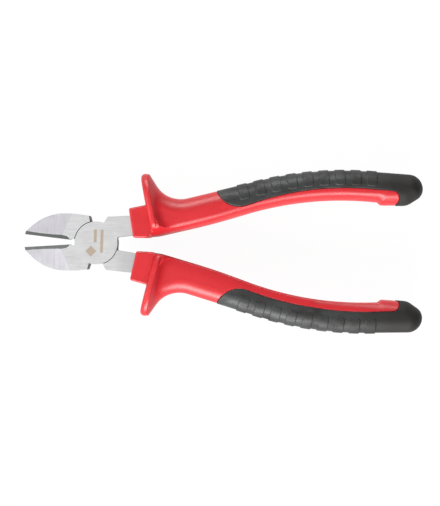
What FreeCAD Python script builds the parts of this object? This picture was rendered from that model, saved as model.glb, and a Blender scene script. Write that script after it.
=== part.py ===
import FreeCAD, Part
import math
import os

# Diagonal cutting pliers with a lap joint, one rivet and two-component handles.
# Units are millimetres. The pivot axis is Z, the jaws point to -X and the handles to +X.
# The origin is on the pivot axis, in the flat rear face of the joint. The tool is drawn
# at its rest pose, with the cutting edges open by rest_open and the X axis halving it.
# The front half is the lower jaw with the upper handle. The rear half is the upper jaw
# with the lower handle. Outlines are given for the +Y side and mirrored for the -Y side.

V = FreeCAD.Vector

# --- driving dimensions: joint ---
rest_open = 10.2            # angle between the two cutting edges, degrees
head_thickness = 10.0       # across the two flat faces of the joint
disc_radius = 9.7           # round lap faces about the pivot
lap_gap = 0.04              # between the two lap faces
side_gap = 0.32             # between a disc and the wall that it turns in
mid = head_thickness / 2

# --- driving dimensions: jaws ---
tip_x = -32.65              # where the cutting edges end at the tip
throat_x = -12.1            # where they end at the joint
facet_drop = 2.0            # how far each ground face falls from the joint to the tip
facet_run = 15.5            # measured across the ground face
wheel_radius = 120.0        # hollow left by the grinding wheel
wheel_width = 80.0
wheel_lead = 30.0           # how far the wheel overhangs the line on the outer side
facet_start = ((-11.2, 12.8), (-15.2, 4.0))   # line where the ground faces begin
edge_z_tip = 6.7            # height of the cutting edge at the tip
edge_z_throat = 8.9         # and at the joint
front_bevel_rise = 3.0      # the front bevel is given over this height
rear_bevel_drop = 9.0       # and the rear one over this
bevel_overlap = 3.0         # how far the bevel's cut reaches past the cutting edge
shoulder_lean = 0.75        # slope of the rear shoulder
shoulder_depth = 2.6        # over this depth from each face

# --- driving dimensions: rivet ---
rivet_radius = 3.0
rivet_head_radius = 4.2
rivet_head_depth = 1.8
running_clearance = 0.04    # rivet in the rear half

# --- driving dimensions: handles ---
tang_thickness = 7.0        # of the tang inside the sleeve
tang_step_x = 20.0          # the tang is as thick as the head up to here
collar_half = 7.0           # half thickness of the sleeve's collar
handle_half = 8.0           # half thickness of the handle
handle_round = 4.9          # rounding of its long edges
collar_round = 0.8
guard_half = 11.0           # half width of the finger guard
guard_root_half = 6.0       # half thickness of the web behind it
nub_half = 4.0              # half thickness of the nub at the inner side
grip_wall = 2.4             # thickness of the soft grip over the core
grip_proud = 0.25           # it stands over the hard plastic by this much
soft_slant = 0.11           # lean of the edge between the two plastics, across the handle
rear_sleeve_shift = 1.6     # the rear half's sleeve sits this much further out
sleeve_lean = 8.0           # in this direction from the X axis, degrees
rib_count = 9
rib_pitch = 7.345
rib_width = 4.4
rib_height = 0.67           # over the hard plastic
rib_reach = 6.6             # how far a rib runs in from the outer side
rib_first = 65.05           # x of the first rib's middle
ample = 200.0               # longer than the tool, for boxes that only cut

# --- outlines on the +Y side: corners as (x, y, rounding radius) ---
half_open = math.radians(rest_open / 2)
slope = math.tan(half_open)
throat_half = 1.4

jaw_outline = [
    (tip_x, -tip_x * slope, 0),
    (-31.95, 4.5, 0.5),
    (-22.8, 12.85, 22),
    (-9.5, 12.95, 25),
    (-3.2, 12.15, 0.3),
    (-2.25, 9.3, 0),
    (-2.0, 2.0, 0),
    (-9.0, throat_half, 0),
    (throat_x + 0.35, throat_half, 0.2),
    (throat_x, -throat_x * slope, 0),
]
tang_outline = [
    (3.0, 8.9, 0),
    (4.9, 12.05, 0.6),
    (23.4, 13.5, 25),
    (94.0, 33.5, 174),
    (128.0, 32.6, 2.5),
    (128.0, 27.1, 2.5),
    (95.2, 27.2, 168),
    (20.5, 4.5, 20),
    (9.6, 3.0, 0.5),
    (9.6, -1.39, 0),
    (2.0, -1.39, 0),
]
front_bevel = [(tip_x - 2, 3.9), (-13.2, 3.6), (throat_x, 1.6)]      # (x, width)
rear_bevel = [(tip_x - 2, 2.6), (-26, 6.5), (-16, 6.5), (throat_x, 0.05)]
shoulder_outline = [(-3.95, -13.5), (-2.95, -9.2), (-1.0, -9.2), (-1.0, -13.5)]
collar_outline = [
    (14.2, 16.1, 0.9),
    (24.0, 18.5, 0),
    (30.0, 18.0, 0),
    (30.0, 4.2, 0),
    (24.0, 3.0, 20),
    (16.9, 2.9, 0.9),
]
guard_outline = [
    (25.8, 3.2, 0),
    (18.7, 32.4, 1.7),
    (22.3, 32.4, 0.8),
    (30.0, 3.9, 0),
]
guard_root = [
    (21.4, 20.0, 0),
    (20.6, 25.0, 0),
    (22.0, 32.2, 0),
    (31.6, 19.3, 10.3),
    (46.0, 22.9, 0),
    (46.0, 10.0, 0),
    (25.0, 4.5, 0),
]
guard_front_view = [
    (3.0, mid, 0),
    (3.0, mid + collar_half, 0),
    (10.0, mid + guard_half, 10),
    (26.0, mid + guard_half, 9),
    (32.5, mid + 4.0, 4),
    (32.5, mid - 4.0, 4),
    (26.0, mid - guard_half, 9),
    (10.0, mid - guard_half, 10),
    (3.0, mid - collar_half, 0),
]
handle_outline = [
    (27.0, 3.4, 0),
    (24.0, 17.1, 0),
    (97.8, 37.4, 160),
    (147.1, 35.3, 6.5),
    (147.1, 26.2, 5.2),
    (140.2, 21.6, 8),
    (95.2, 24.3, 145),
    (52.0, 10.0, 300),
]
nub_outline = [
    (125.5, 25.0, 0),
    (128.0, 21.1, 1.2),
    (134.5, 21.1, 2),
    (136.0, 25.0, 0),
]
soft_outline = [
    (52.6, 28.5, 0),
    (57.2, 15.2, 11),
    (97.5, 29.3, 140),
    (136.0, 26.85, 3.0),
    (136.4, 21.9, 2.4),
    (125.0, 18.2, 0),
    (125.0, 10.0, 0),
    (152.0, 10.0, 0),
    (152.0, 46.0, 0),
    (52.6, 46.0, 0),
]


# --- helpers ---
def rounded_wire(corners):
    """Closed wire in the XY plane, each corner rounded by an arc tangent to its sides."""
    starts, arcs, ends = [], [], []
    for i, (x, y, radius) in enumerate(corners):
        here = V(x, y, 0)
        before = V(corners[i - 1][0], corners[i - 1][1], 0) - here
        after = V(*corners[(i + 1) % len(corners)][:2], 0) - here
        before.normalize()
        after.normalize()
        if not radius:
            starts.append(here)
            arcs.append(None)
            ends.append(here)
            continue
        half_angle = before.getAngle(after) / 2
        reach = radius / math.tan(half_angle)
        inward = before + after
        inward.normalize()
        starts.append(here + before * reach)
        arcs.append(here + inward * (radius / math.sin(half_angle) - radius))
        ends.append(here + after * reach)
    edges = []
    for i, middle in enumerate(arcs):
        if middle is not None:
            edges.append(Part.Arc(starts[i], middle, ends[i]).toShape())
        following = starts[(i + 1) % len(corners)]
        if (following - ends[i]).Length > 1e-4:
            edges.append(Part.LineSegment(ends[i], following).toShape())
    return Part.Wire(edges)


def plate(corners, z_low, z_high):
    """Solid of that outline between two heights."""
    face = Part.Face(rounded_wire(corners))
    solid = face.extrude(V(0, 0, z_high - z_low))
    solid.translate(V(0, 0, z_low))
    return upright(solid)


def upright(solid):
    """The solid with its faces turned outwards."""
    if solid.Volume < 0:
        solid.reverse()
    return solid


def mirrored(shape):
    """The shape's mirror image on the -Y side."""
    return upright(shape.mirror(V(0, 0, 0), V(0, 1, 0)))


def sides_swapped(shape):
    """The shape turned half a turn about the X direction, in the middle of the joint."""
    turned = shape.copy()
    turned.rotate(V(0, 0, mid), V(1, 0, 0), 180)
    return turned


def flipped(shape):
    """The shape's mirror image in the joint's middle plane."""
    return upright(shape.mirror(V(0, 0, mid), V(0, 0, 1)))


def one_solid(shape):
    """The single solid of a boolean's result, with split faces joined."""
    return shape.removeSplitter().Solids[0]


def cylinder(radius, z_low, z_high):
    return Part.makeCylinder(radius, z_high - z_low, V(0, 0, z_low))


# --- steel halves ---
def hollow_wheel():
    """Grinding wheel that takes the sloping face off the front of the +Y jaw."""
    (x1, y1), (x2, y2) = facet_start
    along = V(x2 - x1, y2 - y1, 0)
    along.normalize()
    away = V(along.y, -along.x, 0)
    chord = math.hypot(facet_run, facet_drop)
    lift = math.sqrt(wheel_radius ** 2 - (chord / 2) ** 2)
    run = facet_run / 2 + lift * facet_drop / chord
    rise = lift * facet_run / chord - facet_drop / 2
    centre = V(x1, y1, head_thickness) + away * run + V(0, 0, rise)
    return Part.makeCylinder(wheel_radius, wheel_width, centre - along * wheel_lead, along)


def edge_height(x):
    """Height of the cutting edge at x."""
    share = (x - tip_x) / (throat_x - tip_x)
    return edge_z_tip + share * (edge_z_throat - edge_z_tip)


def bevel(stations, reach):
    """Wedge that bevels the +Y jaw from its cutting edge: reach is how far it goes up or
    down, and stations are (x, width of the bevel over that height)."""
    sections = []
    for x, width in stations:
        y, z = -x * slope, edge_height(x)
        points = [V(x, y, z), V(x, y + width, z + reach), V(x, y - bevel_overlap, z + reach)]
        sections.append(Part.makePolygon(points + points[:1]))
    return upright(Part.makeLoft(sections, True, True))


def jaw():
    """The +Y jaw, full thickness, before the joint's recess is cut."""
    body = plate(jaw_outline, 0, head_thickness)
    wheel = hollow_wheel()
    body = body.cut(wheel).cut(flipped(wheel))
    body = body.cut(bevel(front_bevel, front_bevel_rise))
    return body.cut(bevel(rear_bevel, -rear_bevel_drop))


def tang():
    """The +Y tang, as thick as the head up to the sleeve and thinner inside it."""
    body = plate(tang_outline, 0, head_thickness)
    for z_low in (mid - tang_thickness / 2 - ample, mid + tang_thickness / 2):
        body = body.cut(Part.makeBox(ample, ample, ample, V(tang_step_x, 0, z_low)))
    return body


def shoulder_relief():
    """Wedges that slope the -Y jaw's rear shoulder on both faces, as it is forged."""
    top = [V(x, y, head_thickness) for x, y in shoulder_outline]
    low = [p + V(shoulder_lean, 0, -shoulder_depth) for p in top]
    sections = [Part.makePolygon(s + s[:1]) for s in (low, top)]
    wedge = upright(Part.makeLoft(sections, True, True))
    wedge = wedge.cut(cylinder(disc_radius, 0, 2 * head_thickness))
    return wedge


def front_jaw():
    """Lower jaw, front disc and upper tang in one forging."""
    body = mirrored(jaw()).fuse(cylinder(disc_radius, 0, head_thickness)).fuse(tang())
    body = body.cut(cylinder(disc_radius + side_gap, -1, mid + lap_gap / 2))
    relief = shoulder_relief()
    body = body.cut(relief).cut(flipped(relief))
    bore = Part.makeCylinder(rivet_radius, head_thickness + 2, V(0, 0, -1))
    seat = Part.makeCone(rivet_radius, rivet_head_radius, rivet_head_depth,
                         V(0, 0, head_thickness - rivet_head_depth))
    return one_solid(body.cut(bore).cut(seat))


def rear_jaw():
    """Upper jaw, rear disc and lower tang in one forging."""
    body = jaw().fuse(cylinder(disc_radius, 0, head_thickness)).fuse(mirrored(tang()))
    body = body.cut(cylinder(disc_radius + side_gap, mid - lap_gap / 2, head_thickness + 1))
    relief = mirrored(shoulder_relief())
    body = body.cut(relief).cut(flipped(relief))
    bore = Part.makeCylinder(rivet_radius + running_clearance, head_thickness + 2, V(0, 0, -1))
    seat = Part.makeCone(rivet_head_radius + running_clearance,
                         rivet_radius + running_clearance, rivet_head_depth + running_clearance)
    return one_solid(body.cut(bore).cut(seat))


def pivot_rivet():
    """Rivet set into both countersinks and ground flush. It turns with the front half."""
    shank = cylinder(rivet_radius, 0, head_thickness)
    rear_head = Part.makeCone(rivet_head_radius, rivet_radius, rivet_head_depth)
    front_head = sides_swapped(rear_head)
    return one_solid(shank.fuse(rear_head).fuse(front_head))


# --- handles ---
def rounded_plate(wire, half, radius, start_x):
    """Plate between mid - half and mid + half, its level edges beyond start_x rounded."""
    body = Part.Face(wire).extrude(V(0, 0, 2 * half))
    body.translate(V(0, 0, mid - half))
    body = upright(body)
    level = [e for e in body.Edges if e.BoundBox.ZLength < 1e-3]
    return body.makeFillet(radius, [e for e in level if e.BoundBox.Center.x > start_x])


def handle_shape(proud):
    """Handle from the guard to its rounded end, grown by that much on every side."""
    wire = rounded_wire(handle_outline)
    if proud:
        wire = wire.makeOffset2D(proud)
    return rounded_plate(wire, handle_half + proud, handle_round + proud, handle_outline[0][0])


def finger_guard():
    """Flange across the handle, with the hollow that runs back from it."""
    front_view = Part.Face(rounded_wire([(z, y, r) for y, z, r in guard_front_view]))
    front_view.rotate(V(0, 0, 0), V(0, 1, 0), -90)
    slab = front_view.extrude(V(ample, 0, 0))
    flange = plate(guard_outline, mid - guard_half, mid + guard_half).common(upright(slab))
    return flange.fuse(plate(guard_root, mid - guard_root_half, mid + guard_root_half))


def outer_point(x):
    """Point at x on the handle's outer side."""
    across = Part.makeLine(V(x, 0, 0), V(x, ample, 0))
    points = [vertex.Point for vertex in rounded_wire(handle_outline).section(across).Vertexes]
    return max(points, key=lambda point: point.y)


def rib_bands(half):
    """Boxes across the handle, one for each rib."""
    bands = []
    for i in range(rib_count):
        x = rib_first + i * rib_pitch
        along = outer_point(x + rib_width / 2) - outer_point(x - rib_width / 2)
        band = Part.makeBox(rib_width, 2 * rib_reach, 2 * half,
                            V(-rib_width / 2, -rib_reach, mid - half))
        band.rotate(V(0, 0, 0), V(0, 0, 1), math.degrees(math.atan2(along.y, along.x)))
        band.translate(outer_point(x))
        bands.append(band)
    return bands


def soft_region():
    """Block that the soft plastic fills: its edge lies further out on the front face."""
    reach = handle_half + 2
    face = Part.Face(rounded_wire(soft_outline))
    face.translate(V(0, -reach * soft_slant, mid - reach))
    return upright(face.extrude(V(0, 2 * reach * soft_slant, 2 * reach)))


def handle_pieces(tang_solid, shift):
    """Hard sleeve and soft grip of the +Y handle, moved out along the tang by shift."""
    body = handle_shape(0)
    soft = soft_region()
    core = handle_shape(-grip_wall)
    ribs = handle_shape(rib_height).common(Part.makeCompound(rib_bands(ample)))
    grip = handle_shape(grip_proud).fuse(ribs.Solids).common(soft).cut(core)
    collar = rounded_plate(rounded_wire(collar_outline), collar_half, collar_round, 0)
    nub = plate(nub_outline, mid - nub_half, mid + nub_half).cut(soft)
    sleeve = body.cut(soft).fuse([core.common(soft), collar, finger_guard(), nub])
    sleeve = sleeve.cut(grip)
    lean = math.radians(sleeve_lean)
    for piece in (sleeve, grip):
        piece.translate(V(shift * math.cos(lean), shift * math.sin(lean), 0))
    return one_solid(sleeve.cut(tang_solid)), one_solid(grip)


def main():
    pieces = {
        "front_jaw": front_jaw(),
        "rear_jaw": rear_jaw(),
        "pivot_rivet": pivot_rivet(),
    }
    sleeve, grip = handle_pieces(pieces["front_jaw"], 0)
    pieces["front_handle_sleeve"] = sleeve
    pieces["front_handle_grip"] = grip
    sleeve, grip = handle_pieces(pieces["front_jaw"], rear_sleeve_shift)
    pieces["rear_handle_sleeve"] = sides_swapped(sleeve)
    pieces["rear_handle_grip"] = sides_swapped(grip)
    os.makedirs("parts", exist_ok=True)
    for name, shape in pieces.items():
        print(name, "valid", shape.isValid(), "volume", round(shape.Volume, 1), shape.BoundBox)
        shape.exportStep(f"parts/{name}.step")


main()
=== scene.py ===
import math

import bpy
import numpy as np
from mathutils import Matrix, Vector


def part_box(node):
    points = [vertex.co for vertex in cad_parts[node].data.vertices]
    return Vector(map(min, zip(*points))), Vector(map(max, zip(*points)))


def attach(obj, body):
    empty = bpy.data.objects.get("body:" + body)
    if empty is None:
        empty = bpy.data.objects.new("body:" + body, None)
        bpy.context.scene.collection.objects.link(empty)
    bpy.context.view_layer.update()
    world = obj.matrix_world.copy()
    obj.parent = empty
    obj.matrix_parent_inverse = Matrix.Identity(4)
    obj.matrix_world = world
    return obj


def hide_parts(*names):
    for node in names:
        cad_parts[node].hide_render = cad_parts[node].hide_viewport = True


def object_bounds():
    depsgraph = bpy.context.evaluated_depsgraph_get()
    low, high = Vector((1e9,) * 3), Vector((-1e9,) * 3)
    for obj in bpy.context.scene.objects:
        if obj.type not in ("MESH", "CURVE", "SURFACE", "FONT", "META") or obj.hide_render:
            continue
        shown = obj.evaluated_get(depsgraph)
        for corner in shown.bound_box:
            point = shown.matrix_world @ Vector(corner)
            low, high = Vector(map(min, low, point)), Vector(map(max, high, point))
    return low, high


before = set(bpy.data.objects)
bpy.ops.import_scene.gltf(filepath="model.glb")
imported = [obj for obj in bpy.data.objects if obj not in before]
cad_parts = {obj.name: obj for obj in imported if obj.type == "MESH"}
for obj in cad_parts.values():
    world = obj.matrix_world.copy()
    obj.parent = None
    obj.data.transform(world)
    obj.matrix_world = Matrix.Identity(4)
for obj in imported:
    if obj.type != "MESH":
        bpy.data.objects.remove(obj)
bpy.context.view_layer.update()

# Diagonal cutting pliers. The steel pieces are the frame's own, with brushed steel on them.
# The handles' sleeves and grips are rebuilt here as meshes. Each is the surface where a
# function of the position is zero: it is negative inside, and about the distance near the
# surface, made from curves in plan and from the height over the middle plane.
# The handle's own axes are x from the pivot to its end, y outwards and z from its middle
# plane, in millimetres. The rear handle is the same one, turned half a turn about x.

MM = 0.001
JAW_LOW, JAW_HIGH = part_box("front_jaw")
MIDDLE = (JAW_LOW[2] + JAW_HIGH[2]) / 2 / MM
HEAD_HALF = (JAW_HIGH[2] - JAW_LOW[2]) / 2 / MM

# --- the handle's sizes in millimetres ---
HALF = 8.0                  # half thickness of the handle
OUTER_ROUND = 6.4           # rounding of its outer side
RIDGE_IN = 2.7              # distance of the inner ridge from the inner side, front face
RIDGE_IN_BACK = -0.15       # and on the other face, which overhangs slightly
RIDGE_ROUND = 1.3           # width of the rounding along the ridge, front face
RIDGE_ROUND_BACK = 0.5      # and on the other face
RIDGE_HEIGHT = 7.2          # its height over the middle plane
SIDE_HEIGHT = 2.6           # height at which the inner side begins to lean
PARTING_ROUND = 1.6         # width of the rounding where the inner side begins to lean
CROWN_RUN = 6.0             # run over which the top rises from the ridge to full height
COLLAR_HALF = 7.0           # half thickness of the collar
COLLAR_ROUND = 1.0
COLLAR_END = 25.0           # it begins to slope into the inner side here
COLLAR_INNER_ROUND = 0.4    # width of the rounding between the two
GUARD_LEAN = 0.225          # the guard leans forward by this much for each mm outwards
GUARD_FOOT = (25.2, 3.5)    # foot of its front face
GUARD_THICK = 3.3
GUARD_OVERLAP = 1.5         # the handle begins this far behind the guard's front face
GUARD_CENTRE_Y = 15.2
GUARD_REACH = 17.0          # half width of its outline, outwards
GUARD_HALF = 10.9           # and half its height
GUARD_FULLNESS = 2.5        # 2 is an ellipse, more is fuller
LEAST_OUTLINE_SLOPE = 0.02  # keeps the distance finite at the outline's middle
RIM_ROUND = 2.5             # rounding of the rim's front edge
RIM_CREASE = 0.6            # width of the rounding along its rear edge
RIM_FOOT_ROUND = 1.8        # and at its inner end
FLARE_INSET = 0.5           # the flare behind the rim starts this far inside it
FLARE_ROUND = 0.4
HOLLOW_RUN = 4.6            # the hollow behind the guard climbs to its rim over this
HOLLOW_CORNER = 6.5         # and turns into the inner ridge on this radius
LIP_RUN = 9.0               # run over which the rim falls to the ridge
GRIP_PROUD = 0.2            # the soft plastic stands over the hard one by this
GRIP_WALL = 2.4
GRIP_EDGE_ROUND = 0.5       # width of the rounding along the grip's edge
SEAM_GAP = 0.04             # between the plastics where their edges meet
SEAM_ROUND = 0.25
CORE_GAP = 0.02             # between the grip and the core that it covers
SOFT_SLANT = 0.11           # lean of the edge between the plastics, across the handle
SLANT_FROM = 57.0           # it grows from none at this x
SLANT_RUN = 40.0            # to the full lean over this run
RIB_COUNT = 9
RIB_FIRST = 65.05           # x of the first rib's middle
RIB_PITCH = 7.345
RIB_HALF = 2.2              # half width of a rib
RIB_REACH = 6.5             # how far it runs in from the outer side
RIB_HEIGHT = 0.40
RIB_CORNER = 1.0            # rounding of its inner corners, in plan
RIB_FADE = 0.5              # share of the height that a rib loses towards its inner end
RIB_STEP = 0.22             # run of a rib's steep sides
TANG_HALF = 3.5             # half thickness of the steel inside the sleeve
TANG_STEP_X = 20.0          # it is as thick as the head up to here
TANG_GAP = 0.05             # between the steel and its socket
REAR_SHIFT = 1.6            # the rear sleeve sits further out along the handle by this
REAR_LEAN = math.radians(8.0)   # in a direction that leans outwards by this

# --- curves in plan: corners as (x, y, rounding radius), the material to their right ---
INNER = [
    (160.0, 21.2, 0), (134.5, 21.1, 6), (128.4, 21.1, 1.4), (127.0, 22.55, 1.4),
    (95.2, 24.3, 150), (52.0, 10.0, 300), (27.0, 3.4, 30), (10.0, 2.6, 0),
]
OUTER = [
    (20.6, 35.5, 0), (31.6, 19.15, 13), (97.8, 37.4, 160), (147.1, 35.3, 6.5),
    (147.1, 26.2, 5.2), (140.2, 21.6, 8), (100.0, 18.5, 0),
]
COLLAR = [
    (14.3, 16.1, 1.0), (24.0, 18.4, 0), (30.0, 18.4, 0), (30.0, 4.2, 0),
    (24.0, 3.0, 20), (16.8, 2.9, 0.9),
]
SOFT = [
    (125.0, 18.2, 0), (136.4, 21.9, 2.4), (136.0, 26.85, 3.0), (97.5, 29.3, 140),
    (57.2, 15.6, 11), (52.6, 28.5, 0), (50.4, 36.0, 0),
]
TANG = [
    (3.0, 8.9, 0), (4.9, 12.05, 0.6), (23.4, 13.5, 25), (94.0, 33.5, 174),
    (128.0, 32.6, 2.5), (128.0, 27.1, 2.5), (95.2, 27.2, 168), (20.5, 4.5, 20),
    (9.6, 3.0, 0.5), (2.0, 3.0, 0),
]


class Plan:
    """Signed distance to a chain of straight runs and tangent arcs, seen from above.
    It is negative to the right of the direction of travel."""

    def __init__(self, corners, closed=False):
        points = [np.array(corner[:2]) for corner in corners]
        count = len(points)
        self.arcs = []
        starts, ends = list(points), list(points)
        for i in range(count):
            radius = corners[i][2]
            if not radius:
                continue
            before = points[i - 1] - points[i]
            after = points[(i + 1) % count] - points[i]
            before /= np.hypot(*before)
            after /= np.hypot(*after)
            half = math.acos(np.clip(before @ after, -1, 1)) / 2
            starts[i] = points[i] + before * radius / math.tan(half)
            ends[i] = points[i] + after * radius / math.tan(half)
            inward = before + after
            centre = points[i] + inward / np.hypot(*inward) * radius / math.sin(half)
            turn = np.sign(before[1] * after[0] - before[0] * after[1])
            self.arcs.append((centre, radius, turn, starts[i] - centre, ends[i] - centre))
        runs = count if closed else count - 1
        self.lines = [(ends[i], starts[(i + 1) % count]) for i in range(runs)]

    def __call__(self, x, y):
        near = np.full(np.broadcast(x, y).shape, np.inf)
        side = np.zeros_like(near)
        for start, end in self.lines:
            run = end - start
            length = np.hypot(*run)
            run = run / length
            dx, dy = x - start[0], y - start[1]
            along = np.clip(dx * run[0] + dy * run[1], 0, length)
            away = np.hypot(dx - along * run[0], dy - along * run[1])
            across = run[0] * dy - run[1] * dx
            tie = (away < near + 1e-9) & (np.abs(across) > np.abs(side))
            better = (away < near - 1e-9) | tie
            near = np.where(better, away, near)
            side = np.where(better, across, side)
        for centre, radius, turn, first, last in self.arcs:
            dx, dy = x - centre[0], y - centre[1]
            out = np.hypot(dx, dy)
            within = turn * (first[0] * dy - first[1] * dx) >= 0
            within &= turn * (dx * last[1] - dy * last[0]) >= 0
            away = np.abs(out - radius)
            better = within & (away < near)
            near = np.where(better, away, near)
            side = np.where(better, turn * (radius - out), side)
        return np.where(side < 0, -near, near)


inner_side = Plan(INNER)
outer_side = Plan(OUTER)
collar_plan = Plan(COLLAR, closed=True)
soft_edge = Plan(SOFT)
tang_plan = Plan(TANG, closed=True)


def smooth_max(a, b, width):
    """Larger of two distances, with the crease between them rounded over width."""
    share = np.clip(0.5 + 0.5 * (a - b) / width, 0, 1)
    return b + (a - b) * share + width * share * (1 - share)


def round_max(a, b, radius):
    """Larger of two distances, with an arc of that radius where they meet."""
    return np.minimum(np.maximum(a, b), -radius) + np.hypot(
        np.maximum(a + radius, 0), np.maximum(b + radius, 0))


def behind_guard(x, y):
    """Distance behind the guard's front face."""
    return ((x - GUARD_FOOT[0]) + GUARD_LEAN * (y - GUARD_FOOT[1])) / math.hypot(1, GUARD_LEAN)


def guard_outline(y, z):
    """Distance outside the guard's outline, seen along the handle."""
    across = np.abs(y - GUARD_CENTRE_Y) / GUARD_REACH
    up = np.abs(z) / GUARD_HALF
    n = GUARD_FULLNESS
    size = (across ** n + up ** n + 1e-9) ** (1 / n)
    slope = np.hypot(across ** (n - 1) / GUARD_REACH, up ** (n - 1) / GUARD_HALF)
    return (size - 1) / np.maximum(size ** (1 - n) * slope, LEAST_OUTLINE_SLOPE)


def ridge_in(z):
    """Distance of the inner ridge from the inner side, on the face that z lies on."""
    return np.where(z > 0, RIDGE_IN, RIDGE_IN_BACK)


def inner_face(x, y, z):
    """Inner side: upright near the middle plane, then leaning in up to the ridge."""
    wall = inner_side(x, y)
    rise = RIDGE_HEIGHT - SIDE_HEIGHT
    run = ridge_in(z)
    lean = ((np.abs(z) - SIDE_HEIGHT) * run + wall * rise) / np.hypot(run, rise)
    return smooth_max(wall, lean, PARTING_ROUND)


def handle(x, y, z):
    """Whole handle behind the guard, both plastics together."""
    back = behind_guard(x, y) - GUARD_THICK
    within = -inner_side(x, y) - ridge_in(z)
    crown = 1 - (1 - np.clip(within / CROWN_RUN, 0, 1)) ** 2
    top = RIDGE_HEIGHT + (HALF - RIDGE_HEIGHT) * crown
    climb = np.clip(1 + round_max(-within, -back, HOLLOW_CORNER) / HOLLOW_RUN, 0, 1)
    lip = np.clip(1 - back / LIP_RUN, 0, 1) ** 2
    top = top + (GUARD_HALF - top) * (1 - np.sqrt(1 - climb ** 2)) * lip
    body = round_max(outer_side(x, y), np.abs(z) - top, OUTER_ROUND)
    flare = guard_outline(y, z) + FLARE_INSET - np.maximum(back, 0)
    body = smooth_max(body, flare, FLARE_ROUND)
    body = np.maximum(body, GUARD_OVERLAP - GUARD_THICK - back)
    return smooth_max(body, inner_face(x, y, z), np.where(z > 0, RIDGE_ROUND, RIDGE_ROUND_BACK))


def guard(x, y, z):
    """Flange across the handle."""
    back = behind_guard(x, y)
    plate = round_max(-back, guard_outline(y, z), RIM_ROUND)
    plate = smooth_max(plate, back - GUARD_THICK, RIM_CREASE)
    return smooth_max(plate, inner_face(x, y, z), RIM_FOOT_ROUND)


def collar(x, y, z):
    """Block in front of the guard. It takes the handle's inner side where it runs into it."""
    block = round_max(collar_plan(x, y), np.abs(z) - COLLAR_HALF, COLLAR_ROUND)
    inner = inner_face(x, y, z) - np.maximum(COLLAR_END - x, 0)
    return smooth_max(block, inner, COLLAR_INNER_ROUND)


HEIGHT_RANGE = (5.0, 45.0)  # y of the outer side lies between these
HALVINGS = 40


def outer_height(x):
    """y of the handle's outer side, found by halving the range that it lies in."""
    low, high = HEIGHT_RANGE
    for _ in range(HALVINGS):
        half = (low + high) / 2
        if outer_side(np.array(x), np.array(half)) < 0:
            low = half
        else:
            high = half
    return low


def rib_frames():
    """Middle of each rib on the outer side, and the slope's angle there."""
    for i in range(RIB_COUNT):
        x = RIB_FIRST + i * RIB_PITCH
        rise = outer_height(x + 0.5) - outer_height(x - 0.5)
        yield x, outer_height(x), math.atan2(rise, 1.0)


RIBS = list(rib_frames())


def ribs(x, y):
    """Share of a rib's height: 0 between the ribs, and fading from 1 at the outer side
    to the rounded inner end."""
    inwards = -outer_side(x, y) - RIB_REACH + RIB_CORNER
    nearest = np.inf
    for middle, top, lean in RIBS:
        along = (x - middle) * math.cos(lean) + (y - top) * math.sin(lean)
        beside = np.abs(along) - RIB_HALF + RIB_CORNER
        nearest = np.minimum(nearest, beside)
    out = np.maximum(nearest, inwards)
    out = np.where((nearest > 0) & (inwards > 0), np.hypot(nearest, inwards), out) - RIB_CORNER
    share = np.clip(0.5 - out / RIB_STEP, 0, 1)
    fading = 1 - RIB_FADE * np.clip(-outer_side(x, y) / RIB_REACH, 0, 1)
    return share * share * (3 - 2 * share) * fading


def soft(x, y, z):
    """Distance outside the soft plastic's region, in plan."""
    return soft_edge(x, y - SOFT_SLANT * np.clip((x - SLANT_FROM) / SLANT_RUN, 0, 1) * z)


def make_sleeve(shift):
    """Function of the hard sleeve, with a socket for the tang, which sits shift back."""
    def sleeve(x, y, z):
        body = handle(x, y, z)
        shown = smooth_max(body, SEAM_GAP - soft(x, y, z), SEAM_ROUND)
        core = np.minimum(shown, body + GRIP_WALL + CORE_GAP)
        outside = np.minimum(np.minimum(core, guard(x, y, z)), collar(x, y, z))
        step = np.where(x + shift[0] < TANG_STEP_X, HEAD_HALF, TANG_HALF)
        tang = np.maximum(tang_plan(x + shift[0], y + shift[1]), np.abs(z) - step)
        return np.maximum(outside, TANG_GAP - tang)
    return sleeve


def grip(x, y, z):
    """Function of the soft grip: a shell over the sleeve's core."""
    body = handle(x, y, z)
    outside = body - GRIP_PROUD - RIB_HEIGHT * ribs(x, y)
    shell = smooth_max(outside, soft(x, y, z), GRIP_EDGE_ROUND)
    return np.maximum(shell, -(body + GRIP_WALL))


# --- from a function to a mesh ---
FINE_PROBE = 0.02           # a slope is measured this far to each side, to move a point
NORMAL_PROBE = 0.1          # and this far, to find the direction that the surface faces in
LEAST_SLOPE_SQUARED = 0.2   # a gentler slope than this doesn't make a point jump
ROUNDS = 3                  # of smoothing, and of settling after it
CORNERS = [(a, b, c) for a in (0, 1) for b in (0, 1) for c in (0, 1)]


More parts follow.
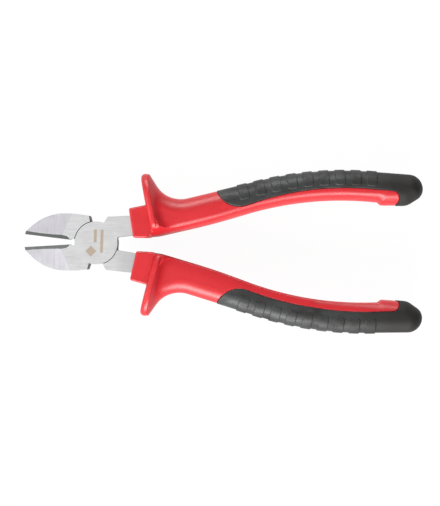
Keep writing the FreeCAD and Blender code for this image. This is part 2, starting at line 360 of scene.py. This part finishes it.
def net(solid, low, high, cell):
    """Points and quads of the closed surface where solid is zero, one point to a cell."""
    axes = [np.arange(a, b + cell, cell) for a, b in zip(low, high)]
    x, y, z = np.meshgrid(*axes, indexing="ij", sparse=True)
    values = solid(x, y, z)
    inside = values < 0
    size = np.array(values.shape) - 1
    count = np.zeros(size, np.int8)
    for a, b, c in CORNERS:
        count += inside[a:a + size[0], b:b + size[1], c:c + size[2]]
    cells = np.argwhere((count > 0) & (count < 8))
    number = np.full(size, -1)
    number[tuple(cells.T)] = np.arange(len(cells))
    total = np.zeros((len(cells), 3))
    hits = np.zeros(len(cells))
    for corner in CORNERS:
        for axis in range(3):
            if corner[axis]:
                continue
            other = np.array(corner)
            other[axis] = 1
            first = values[tuple((cells + corner).T)]
            second = values[tuple((cells + other).T)]
            crossing = (first < 0) != (second < 0)
            point = np.tile(np.array(corner, float), (len(cells), 1))
            point[:, axis] = first / np.where(crossing, first - second, 1)
            total += point * crossing[:, None]
            hits += crossing
    points = (cells + total / hits[:, None]) * cell + np.array(low)
    faces = []
    for axis in range(3):
        step_b, step_c = np.eye(3, dtype=int)[[(axis + 1) % 3, (axis + 2) % 3]]
        near = np.take(inside, range(size[axis]), axis)
        far = np.take(inside, range(1, size[axis] + 1), axis)
        edges = np.argwhere(near != far)
        around = [edges - step_b - step_c, edges - step_c, edges, edges - step_b]
        quads = np.stack([number[tuple(ring.T)] for ring in around], axis=1)
        outward = near[tuple(edges.T)]
        quads[~outward] = quads[~outward][:, ::-1]
        faces.append(quads)
    return points, np.concatenate(faces)


def slopes(solid, points, probe):
    """How fast solid grows along each axis at the points, measured probe to each side."""
    found = np.empty_like(points)
    for axis, step in enumerate(np.eye(3) * probe):
        found[:, axis] = (solid(*(points + step).T) - solid(*(points - step).T)) / (2 * probe)
    return found


def settle(solid, points, cell):
    """Moves the points along the slope onto the surface itself, by half a cell at most."""
    slope = slopes(solid, points, FINE_PROBE)
    steepness = np.maximum((slope ** 2).sum(1), LEAST_SLOPE_SQUARED)
    move = slope * (solid(*points.T) / steepness)[:, None]
    length = np.sqrt((move ** 2).sum(1))
    return points - move * np.minimum(1, 0.5 * cell / np.maximum(length, 1e-9))[:, None]


def relax(points, faces):
    """Moves each point halfway to the middle of its neighbours."""
    total = np.zeros_like(points)
    count = np.zeros(len(points))
    for a, b in ((0, 1), (1, 2), (2, 3), (3, 0)):
        for first, second in ((a, b), (b, a)):
            ends = points[faces[:, second]]
            for axis in range(3):
                total[:, axis] += np.bincount(faces[:, first], ends[:, axis], len(points))
            count += np.bincount(faces[:, first], minlength=len(points))
    return points + 0.5 * (total / count[:, None] - points)


def build(solid, low, high, cell):
    """Points, faces and the directions that the surface faces in at the points."""
    points, faces = net(solid, low, high, cell)
    for _ in range(ROUNDS):
        points = relax(points, faces)
        points = settle(solid, points, cell)
    for _ in range(ROUNDS):
        points = settle(solid, points, cell)
    return points, faces, slopes(solid, points, NORMAL_PROBE)


def piece(name, form, place, node, body, slot):
    """Mesh object of a built form at its place, instead of a node of the frame."""
    points, faces, facing = form
    turn, shift = place
    mesh = bpy.data.meshes.new(name)
    mesh.from_pydata((points * turn + shift) * MM, [], faces.tolist())
    mesh.polygons.foreach_set("use_smooth", [True] * len(mesh.polygons))
    mesh.normals_split_custom_set_from_vertices(facing * turn)
    made = bpy.data.objects.new(name, mesh)
    bpy.context.scene.collection.objects.link(made)
    mesh.materials.append(MATERIALS[slot])
    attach(made, body)
    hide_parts(node)


# A place is the turn and then the shift that take the handle's own axes to the tool's.
SHIFT = (REAR_SHIFT * math.cos(REAR_LEAN), REAR_SHIFT * math.sin(REAR_LEAN))
IN_FRONT = ((1, 1, 1), (0, 0, MIDDLE))
IN_REAR = ((1, -1, -1), (SHIFT[0], -SHIFT[1], MIDDLE))


# --- materials ---
def add(tree, kind, settings=None, **inputs):
    """First output of a new shader node. An input is a value or another node's output,
    under its name, or as i0 or i1 for its place."""
    made = tree.nodes.new("ShaderNode" + kind)
    for name, value in (settings or {}).items():
        setattr(made, name, value)
    for name, value in inputs.items():
        key = int(name[1:]) if name[1:].isdigit() else name.replace("_", " ")
        socket = made.inputs[key]
        if isinstance(value, bpy.types.NodeSocket):
            tree.links.new(value, socket)
        else:
            socket.default_value = value
    return made.outputs[0]


def calc(tree, operation, a, b=0.0):
    return add(tree, "Math", {"operation": operation}, i0=a, i1=b)


def ramp(tree, value, low, high, to_low=0.0, to_high=1.0):
    """Value scaled from low..high to to_low..to_high, and held there at the ends."""
    return add(tree, "MapRange", Value=value, From_Min=low, From_Max=high,
               To_Min=to_low, To_Max=to_high)


def new_material(name):
    material = bpy.data.materials.new(name)
    material.use_nodes = True
    tree = material.node_tree
    return material, tree, tree.nodes["Principled BSDF"]


def position(tree):
    """Position on the tool in millimetres, and its three numbers."""
    coordinates = tree.nodes.new("ShaderNodeTexCoord").outputs["Object"]
    place = add(tree, "VectorMath", {"operation": "SCALE"}, Vector=coordinates, Scale=1 / MM)
    parts = tree.nodes.new("ShaderNodeSeparateXYZ")
    tree.links.new(place, parts.inputs[0])
    return place, parts.outputs


def noise(tree, place, stretch, detail=3.0):
    """Noise whose grains measure 1 / stretch along each axis, in millimetres."""
    scaled = add(tree, "VectorMath", {"operation": "MULTIPLY"}, i0=place, i1=stretch)
    return add(tree, "TexNoise", Vector=scaled, Scale=1.0, Detail=detail, Roughness=0.6)


def mixed(tree, share, a, b):
    """Number or colour between a and b."""
    kind = "RGBA" if isinstance(b, tuple) or getattr(b, "type", "") == "RGBA" else "FLOAT"
    made = tree.nodes.new("ShaderNodeMix")
    made.data_type = kind
    sockets = [s for s in made.inputs if s.enabled]
    for socket, value in zip(sockets, (share, a, b)):
        if isinstance(value, bpy.types.NodeSocket):
            tree.links.new(value, socket)
        else:
            socket.default_value = value
    return [s for s in made.outputs if s.enabled][0]


def times(tree, a, b):
    return calc(tree, "MULTIPLY", a, b)


def below(tree, value, limit):
    return calc(tree, "LESS_THAN", value, limit)


def above(tree, value, limit):
    return calc(tree, "GREATER_THAN", value, limit)


def middling(tree, value, to_low=0.0, to_high=1.0):
    """Noise, which stays mostly between 0.3 and 0.7, spread from to_low to to_high."""
    return ramp(tree, value, 0.3, 0.7, to_low, to_high)


# Places on the steel in millimetres
FACET_EDGE = -16.9          # x of the line where the ground faces begin, at y = 0
FACET_EDGE_LEAN = 0.45      # it leans towards the joint by this for each mm outwards
FACET_BLEND = 0.3           # half width of the change from one grind to the other
BEVEL_END = -10.5           # the cutting bevels end at this x
FORGED_FROM = -5.0          # walls beyond this x are forged, not ground
TANG_FROM = 3.0             # but for the outer walls of the tangs, beyond this x
TANG_OUTSIDE = 8.0          # and further out than this
DARK_CORNER = (9.0, 10.9)   # x of the corners between disc and tang, painted nearly black as shade
TANG_DARKENING_FROM = (8.0, 13.0)     # the tangs grow darker between these
TANG_DARKENING_SHARES = (0.03, 0.14)  # by this much on the upper and on the lower tang
DIAMOND = (-2.2, -3.8, 2.5)                                 # x, y and half diagonal
BARS = ((-0.4, 3.2, 0.65, 2.9), (2.6, 0.9, 0.65, 5.2))      # x, y, half width, half height

# A face's level is 1 where it lies flat and 0 where it is upright.
FLAT_LEVEL = 0.93           # the bevels are less level than this
WALL_LEVEL = 0.5            # and the walls less than this

# Colours
FLAT_STEEL = (0.71, 0.71, 0.715, 1)
FACET_STEEL = (0.62, 0.61, 0.645, 1)
# The cutting bevels' colours are painted shade: darker than the flats, and the upper bevel darker
# still, for how the light falls on it.
LOWER_BEVEL_PAINTED_SHADE = (0.20, 0.215, 0.21, 1)
UPPER_BEVEL_PAINTED_SHADE = (0.09, 0.097, 0.094, 1)
GROUND_WALL = (0.50, 0.50, 0.49, 1)
FORGED_WALL = (0.17, 0.15, 0.14, 1)
# Nearly black painted shade for the corners between disc and tang.
CORNER_PAINTED_SHADE = (0.02, 0.016, 0.014, 1)
ETCHED_TAN = (0.47, 0.37, 0.28, 1)
WALL_ROUGHNESS = 0.55
BEVEL_ROUGHNESS = 0.75
MARK_ROUGHNESS = 0.6
PLASTIC_REDS = ((0.48, 0.004, 0.009, 1), (0.53, 0.007, 0.014, 1))
# The soft plastic's black, and a paler colour which is partly wear and partly painted sheen.
BLACK_AND_SHEEN_COLOURS = ((0.008, 0.007, 0.006, 1), (0.030, 0.032, 0.0315, 1))
WEAR_AND_SHEEN_RUN = (134.0, 112.0)       # the paler patches, partly wear and partly painted sheen, are full up to the second x and gone beyond the first


def facet_share(tree, x, y):
    """1 on the jaws' ground faces and 0 on the joint's flat."""
    lean = times(tree, calc(tree, "ABSOLUTE", y), -FACET_EDGE_LEAN)
    first, last = FACET_EDGE - FACET_BLEND, FACET_EDGE + FACET_BLEND
    return ramp(tree, calc(tree, "ADD", x, lean), first, last, 1.0, 0.0)


def grinding(tree, place, on_facet):
    """Coarse and fine grinding lines: lengthwise on the flat and crosswise on the facets."""
    lines = mixed(tree, on_facet, noise(tree, place, (0.12, 3.2, 0.12)),
                  noise(tree, place, (2.6, 0.16, 0.16)))
    fine = mixed(tree, on_facet, noise(tree, place, (0.5, 14.0, 0.5), 2.0),
                 noise(tree, place, (12.0, 0.5, 0.5), 2.0))
    return lines, fine


def steel_faces(tree, x, y):
    """Shares of the cutting bevels, the ground walls and the forged walls."""
    facing = tree.nodes.new("ShaderNodeNewGeometry").outputs["True Normal"]
    normal = tree.nodes.new("ShaderNodeSeparateXYZ")
    tree.links.new(facing, normal.inputs[0])
    level = calc(tree, "ABSOLUTE", normal.outputs[2])
    sloping = times(tree, below(tree, level, FLAT_LEVEL), above(tree, level, WALL_LEVEL))
    bevel = times(tree, sloping, below(tree, x, BEVEL_END))
    outside = ramp(tree, calc(tree, "ABSOLUTE", y), TANG_OUTSIDE, TANG_OUTSIDE + 0.5)
    beside_tang = times(tree, outside, above(tree, x, TANG_FROM))
    is_ground = calc(tree, "MAXIMUM", beside_tang, below(tree, x, FORGED_FROM))
    wall = below(tree, level, WALL_LEVEL)
    ground_wall = times(tree, wall, is_ground)
    return bevel, ground_wall, calc(tree, "SUBTRACT", wall, ground_wall)


def steel_shade(tree, place, x, y, lines, fine):
    """Brightness of the steel: grinding lines, clouds, and tangs that grow darker towards the
    lower one.
    """
    cloud = noise(tree, place, (0.25, 0.25, 0.25), 2.0)
    shade = middling(tree, lines, 0.90, 1.06)
    shade = times(tree, shade, middling(tree, fine, 0.96, 1.04))
    shade = times(tree, shade, middling(tree, cloud, 0.96, 1.03))
    # The tangs are darker, more so towards the lower tang.
    tang_darkening = times(tree, ramp(tree, x, *TANG_DARKENING_FROM), ramp(tree, y, 6.0, -6.0, *TANG_DARKENING_SHARES))
    return times(tree, shade, calc(tree, "SUBTRACT", 1.0, tang_darkening))


def steel(name):
    """Ground tool steel: grinding lines, cutting bevels darkened by painted shade, darker walls, a
    tan mark.
    """
    material, tree, shader = new_material(name)
    place, (x, y, z) = position(tree)
    on_facet = facet_share(tree, x, y)
    lines, fine = grinding(tree, place, on_facet)
    bevel, ground_wall, forged_wall = steel_faces(tree, x, y)

    colour = mixed(tree, on_facet, FLAT_STEEL, FACET_STEEL)
    # Painted shade on the cutting bevels, darker on the upper jaw's bevel.
    bevel_painted_shade = mixed(tree, above(tree, y, 0.0), LOWER_BEVEL_PAINTED_SHADE, UPPER_BEVEL_PAINTED_SHADE)
    colour = mixed(tree, bevel, colour, bevel_painted_shade)
    colour = mixed(tree, ground_wall, colour, GROUND_WALL)
    colour = mixed(tree, forged_wall, colour, FORGED_WALL)
    # Painted shade: the forged walls in the corners between disc and tang turn nearly black.
    corner = times(tree, ramp(tree, x, DARK_CORNER[0] - 0.4, DARK_CORNER[0]),
                   ramp(tree, x, DARK_CORNER[1], DARK_CORNER[1] + 0.4, 1.0, 0.0))
    colour = mixed(tree, times(tree, forged_wall, corner), colour, CORNER_PAINTED_SHADE)
    shade = steel_shade(tree, place, x, y, lines, fine)
    colour = add(tree, "VectorMath", {"operation": "SCALE"}, Vector=colour, Scale=shade)
    marked = mark(tree, x, y, z)
    colour = mixed(tree, marked, colour, ETCHED_TAN)
    tree.links.new(colour, shader.inputs["Base Color"])

    wall = calc(tree, "ADD", ground_wall, forged_wall)
    roughness = mixed(tree, wall, middling(tree, lines, 0.46, 0.56), WALL_ROUGHNESS)
    roughness = mixed(tree, bevel, roughness, BEVEL_ROUGHNESS)
    roughness = mixed(tree, marked, roughness, MARK_ROUGHNESS)
    tree.links.new(roughness, shader.inputs["Roughness"])
    bump = add(tree, "Bump", Strength=0.35, Distance=0.00006,
               Height=calc(tree, "ADD", lines, times(tree, fine, 0.5)))
    tree.links.new(bump, shader.inputs["Normal"])
    shader.inputs["Metallic"].default_value = 1.0
    return material


def mark(tree, x, y, z):
    """Plain etched mark on the joint's front face: a diamond and two bars."""
    def away(value, centre):
        return calc(tree, "ABSOLUTE", calc(tree, "SUBTRACT", value, centre))

    diagonal = calc(tree, "ADD", away(x, DIAMOND[0]), away(y, DIAMOND[1]))
    shape = calc(tree, "SUBTRACT", diagonal, DIAMOND[2])
    for centre_x, centre_y, half_x, half_y in BARS:
        bar = calc(tree, "MAXIMUM", calc(tree, "SUBTRACT", away(x, centre_x), half_x),
                   calc(tree, "SUBTRACT", away(y, centre_y), half_y))
        shape = calc(tree, "MINIMUM", shape, bar)
    etched = ramp(tree, shape, -0.12, 0.12, 0.85, 0.0)
    front = ramp(tree, z, MIDDLE + HEAD_HALF - 0.2, MIDDLE + HEAD_HALF - 0.1)
    return times(tree, etched, front)


def hard_plastic():
    """Red satin plastic: a faint flow in its colour and a slightly uneven gloss."""
    material, tree, shader = new_material("hard_plastic")
    place, _ = position(tree)
    flow = noise(tree, place, (0.08, 0.14, 0.14))
    grain = noise(tree, place, (1.3, 1.3, 1.3), 4.0)
    fine = noise(tree, place, (7.0, 7.0, 7.0), 2.0)
    colour = mixed(tree, middling(tree, flow), *PLASTIC_REDS)
    tree.links.new(colour, shader.inputs["Base Color"])
    tree.links.new(middling(tree, grain, 0.36, 0.45), shader.inputs["Roughness"])
    shader.inputs["Specular IOR Level"].default_value = 0.62
    height = calc(tree, "ADD", grain, times(tree, fine, 0.4))
    bump = add(tree, "Bump", Strength=0.12, Distance=0.00008, Height=height)
    tree.links.new(bump, shader.inputs["Normal"])
    return material


def soft_plastic():
    """Black soft plastic: matt, with a fine grain and a few paler patches, partly rubbed wear and
    partly painted sheen.
    """
    material, tree, shader = new_material("soft_plastic")
    place, parts = position(tree)
    grain = noise(tree, place, (3.4, 3.4, 3.4), 4.0)
    patches = ramp(tree, noise(tree, place, (0.12, 0.2, 0.2), 3.0), 0.25, 0.6)
    # Paler patches, partly rubbed wear and partly painted sheen, on the grip's nearer part.
    wear_and_sheen = times(tree, patches, ramp(tree, parts[0], *WEAR_AND_SHEEN_RUN))
    tree.links.new(mixed(tree, wear_and_sheen, *BLACK_AND_SHEEN_COLOURS), shader.inputs["Base Color"])
    tree.links.new(ramp(tree, wear_and_sheen, 0.0, 1.0, 0.66, 0.45), shader.inputs["Roughness"])
    shader.inputs["Specular IOR Level"].default_value = 0.43
    bump = add(tree, "Bump", Strength=0.3, Distance=0.00012, Height=grain)
    tree.links.new(bump, shader.inputs["Normal"])
    return material


def floor_material():
    """White table that glows a little, so that shadows stay pale."""
    material, tree, shader = new_material("white_table")
    place, _ = position(tree)
    speckle = noise(tree, place, (0.02, 0.02, 0.02), 2.0)
    colour = mixed(tree, speckle, (0.05, 0.05, 0.05, 1), (0.06, 0.06, 0.06, 1))
    tree.links.new(colour, shader.inputs["Base Color"])
    shader.inputs["Roughness"].default_value = 0.9
    shader.inputs["Specular IOR Level"].default_value = 0.0
    shader.inputs["Emission Color"].default_value = (1, 1, 1, 1)
    shader.inputs["Emission Strength"].default_value = 0.955
    return material


MATERIALS = {
    "tool_steel": steel("tool_steel"),
    "rivet_steel": steel("rivet_steel"),
    "hard_plastic": hard_plastic(),
    "soft_plastic": soft_plastic(),
}

# --- the steel pieces: the frame's own nodes, given their finish ---
STEEL_PIECES = {"front_jaw": "tool_steel", "rear_jaw": "tool_steel", "pivot_rivet": "rivet_steel"}
for node, slot in STEEL_PIECES.items():
    for place in bpy.data.objects[node].material_slots:
        place.material = MATERIALS[slot]

# --- the handles ---
CELL = 0.36         # mesh size of the sleeves
GRIP_CELL = 0.27    # and of the grips
SLEEVE_BOX = ((13.0, 1.5, -12.0), (146.0, 35.5, 12.0))
GRIP_BOX = ((51.0, 14.0, -9.6), (149.2, 38.6, 9.6))

front_form = build(make_sleeve((0, 0)), *SLEEVE_BOX, CELL)
rear_form = build(make_sleeve(SHIFT), *SLEEVE_BOX, CELL)
grip_form = build(grip, *GRIP_BOX, GRIP_CELL)
piece("front_sleeve", front_form, IN_FRONT, "front_handle_sleeve", "front", "hard_plastic")
piece("rear_sleeve", rear_form, IN_REAR, "rear_handle_sleeve", "rear", "hard_plastic")
piece("front_grip", grip_form, IN_FRONT, "front_handle_grip", "front", "soft_plastic")
piece("rear_grip", grip_form, IN_REAR, "rear_handle_grip", "rear", "soft_plastic")

# --- stage, in metres ---
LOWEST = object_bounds()[0][2]
REACH = 2.5
table = bpy.data.meshes.new("table")
table.from_pydata([(-REACH, -REACH, LOWEST), (REACH, -REACH, LOWEST), (REACH, REACH, LOWEST),
                   (-REACH, REACH, LOWEST)], [], [(0, 1, 2, 3)])
table.materials.append(floor_material())
floor = bpy.data.objects.new("table", table)
bpy.context.scene.collection.objects.link(floor)

VIEW_CENTRE = (56.2 * MM, -2.7 * MM)   # the camera is over this point


def softbox(name, place, size, energy):
    """Rectangular lamp that points at the middle of the tool."""
    light = bpy.data.lights.new(name, "AREA")
    light.shape = "RECTANGLE"
    light.size, light.size_y = size
    light.energy = energy
    lamp = bpy.data.objects.new(name, light)
    bpy.context.scene.collection.objects.link(lamp)
    dx, dy, dz = place[0] - VIEW_CENTRE[0], place[1] - VIEW_CENTRE[1], place[2]
    lamp.location = place
    lamp.rotation_euler = (math.atan2(math.hypot(dx, dy), dz), 0, math.atan2(dy, dx) + math.pi / 2)


softbox("near_light", (-0.10, -0.80, 0.38), (0.9, 0.45), 16.0)
softbox("far_light", (-0.12, 0.85, 0.42), (0.9, 0.40), 9.0)
softbox("left_light", (-0.85, -0.10, 0.35), (0.5, 0.30), 2.0)
softbox("top_light", (-0.52, -0.10, 1.50), (1.5, 1.5), 5.5)

world = bpy.data.worlds.new("studio")
bpy.context.scene.world = world
world.use_nodes = True
world.node_tree.nodes["Background"].inputs["Color"].default_value = (1, 1, 1, 1)
world.node_tree.nodes["Background"].inputs["Strength"].default_value = 0.20
bpy.context.scene.view_settings.view_transform = "Standard"

# --- camera: straight down, turned slightly ---
DISTANCE = 0.68
VIEW_LEVEL = 9 * MM         # the distance and the view's height are taken at this height
VIEW_HEIGHT = 229.1 * MM
VIEW_TURN = math.radians(1.9)
camera_data = bpy.data.cameras.new("camera")
camera_data.sensor_width = 36
camera_data.lens = camera_data.sensor_width * DISTANCE / VIEW_HEIGHT
camera = bpy.data.objects.new("camera", camera_data)
camera.location = (*VIEW_CENTRE, VIEW_LEVEL + DISTANCE)
camera.rotation_euler = (0, 0, VIEW_TURN)
bpy.context.scene.collection.objects.link(camera)
bpy.context.scene.camera = camera
